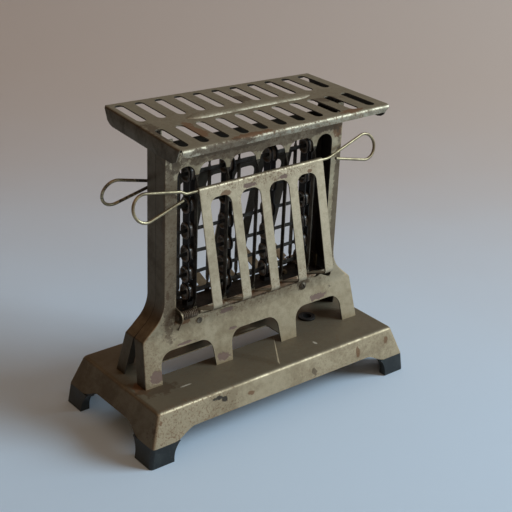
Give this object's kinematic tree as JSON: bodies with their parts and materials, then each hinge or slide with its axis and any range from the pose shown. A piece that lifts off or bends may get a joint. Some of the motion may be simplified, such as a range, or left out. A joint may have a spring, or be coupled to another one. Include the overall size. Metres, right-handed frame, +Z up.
{
  "type": "drop side toaster",
  "caption": "Drop side toaster: slotted warming rack on a narrow windowed body, two sprung flip doors with wire loop handles, ribbon element on posts, pressed base on black feet.",
  "frame": {"origin": "middle of the base on the surface the feet stand on", "axes": "+X along the toaster towards the end with the cord bushing, -Y out through the front door, +Z up"},
  "size_m": [0.22, 0.1018, 0.2053],
  "materials": {
    "pan_nickel": "aged nickel plate, dull and stained",
    "foot_black": "satin black enamel",
    "steel_dark": "darkened steel",
    "body_nickel": "aged nickel plate, pitted, bare in patches",
    "bar_steel": "heat darkened steel",
    "rack_nickel": "aged nickel plate",
    "door_nickel": "aged nickel plate, rust at the lower edge",
    "wire_nickel": "plated steel wire, yellowed",
    "spring_steel": "rusty spring steel",
    "inner_steel": "blackened and rusty steel",
    "post_black": "blackened steel",
    "porcelain": "soiled glazed porcelain",
    "ribbon_steel": "oxidised resistance ribbon",
    "screw_steel": "stained steel",
    "brass": "dull brass"
  },
  "bodies": {
    "frame": {"base_pan": "pan_nickel", "foot_front_left": "foot_black", "foot_front_right": "foot_black", "foot_rear_left": "foot_black", "foot_rear_right": "foot_black", "foot_bosses": "steel_dark", "foot_screws": "steel_dark", "front_panel": "body_nickel", "rear_panel": "body_nickel", "front_guard_bars": "bar_steel", "rear_guard_bars": "bar_steel", "top_rack": "rack_nickel", "front_hinge_pin": "steel_dark", "rear_hinge_pin": "steel_dark", "front_door_spring": "spring_steel", "rear_door_spring": "spring_steel", "element_tray": "inner_steel", "element_cap": "inner_steel", "element_post_1": "post_black", "element_post_2": "post_black", "element_post_3": "post_black", "element_post_4": "post_black", "post_insulators_1": "porcelain", "post_insulators_2": "porcelain", "post_insulators_3": "porcelain", "post_insulators_4": "porcelain", "heating_ribbons": "ribbon_steel", "ribbon_links": "ribbon_steel", "panel_screws": "screw_steel", "panel_nuts": "steel_dark", "panel_rivets": "screw_steel", "cord_bushing": "porcelain", "terminal_block": "porcelain", "terminal_screws": "brass", "lead_strips": "brass"},
    "front_door": {"front_door": "door_nickel", "front_handle_wire": "wire_nickel"},
    "rear_door": {"rear_door": "door_nickel", "rear_handle_wire": "wire_nickel"}
  },
  "joints": [
    {"name": "front_door_hinge", "type": "hinge", "parent": "frame", "child": "front_door", "pos_m": [0, -0.0133, 0.0775], "axis": [1, 0, 0], "range_deg": [0, 100], "stiffness_Nm_per_rad": 0.06, "springref_deg": -28.65},
    {"name": "rear_door_hinge", "type": "hinge", "parent": "frame", "child": "rear_door", "pos_m": [0, 0.0133, 0.0775], "axis": [-1, 0, 0], "range_deg": [0, 100], "stiffness_Nm_per_rad": 0.06, "springref_deg": -28.65}
  ]
}
